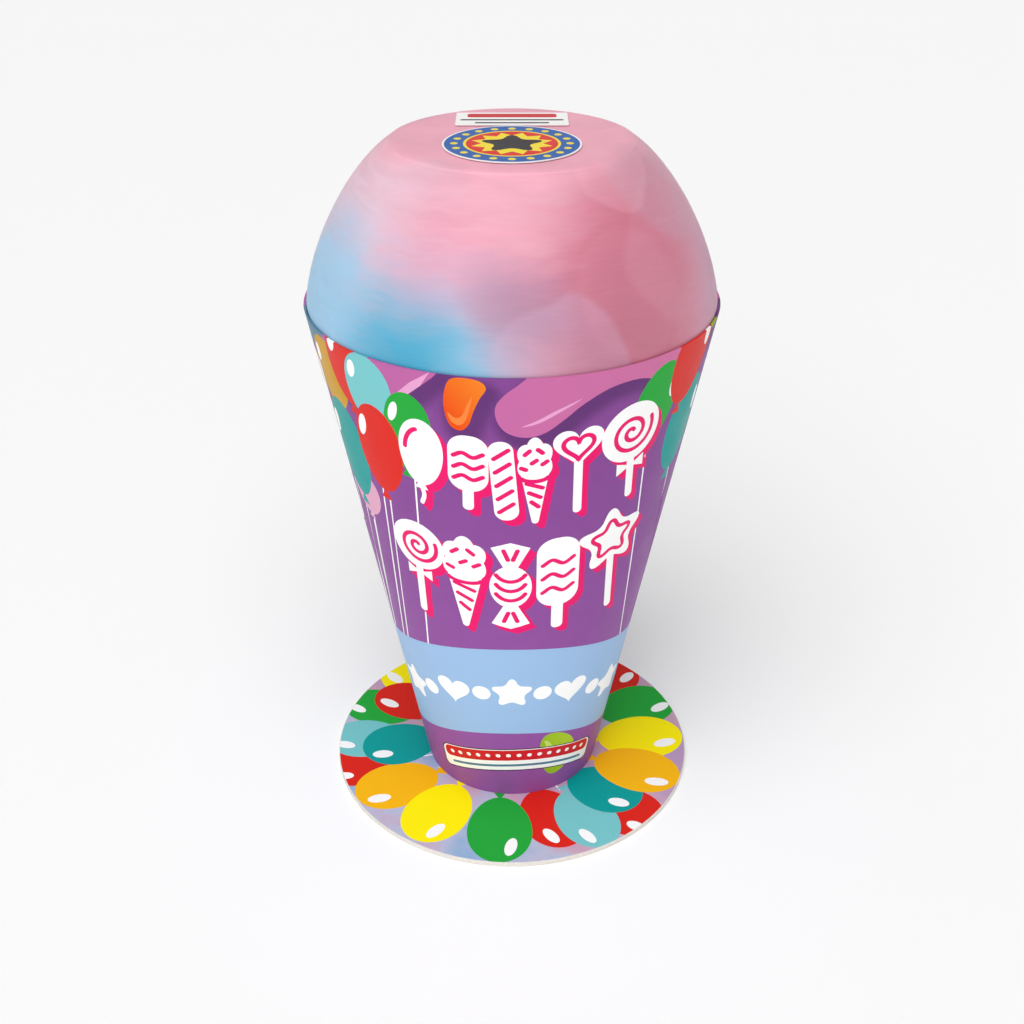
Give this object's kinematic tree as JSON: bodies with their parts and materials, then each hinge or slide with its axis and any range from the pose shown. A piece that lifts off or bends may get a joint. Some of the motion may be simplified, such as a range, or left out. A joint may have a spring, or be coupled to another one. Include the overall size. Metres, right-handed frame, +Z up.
{
  "type": "cone fountain firework",
  "caption": "Novelty fountain shaped like cotton candy: a printed card cone with a flat-topped dome, on a round card base.",
  "frame": {"origin": "centre of the round base's underside", "axes": "+Z up through the middle of the cone and dome, -Y towards the printed front, +X to the right seen from the front"},
  "size_m": [0.142, 0.142, 0.25],
  "materials": {
    "base_card": "coated card printed with balloons over pale clouds, satin varnish",
    "cone_card": "coated card printed in flat colours, satin varnish",
    "dome_card": "moulded dome printed with soft pink and blue clouds, satin",
    "round_label_paper": "printed paper label, semi-gloss",
    "strip_label_paper": "printed white paper label, semi-gloss"
  },
  "bodies": {
    "root": {"base_disc": "base_card", "cone_body": "cone_card", "candy_dome": "dome_card", "round_label": "round_label_paper", "strip_label": "strip_label_paper"}
  },
  "joints": []
}
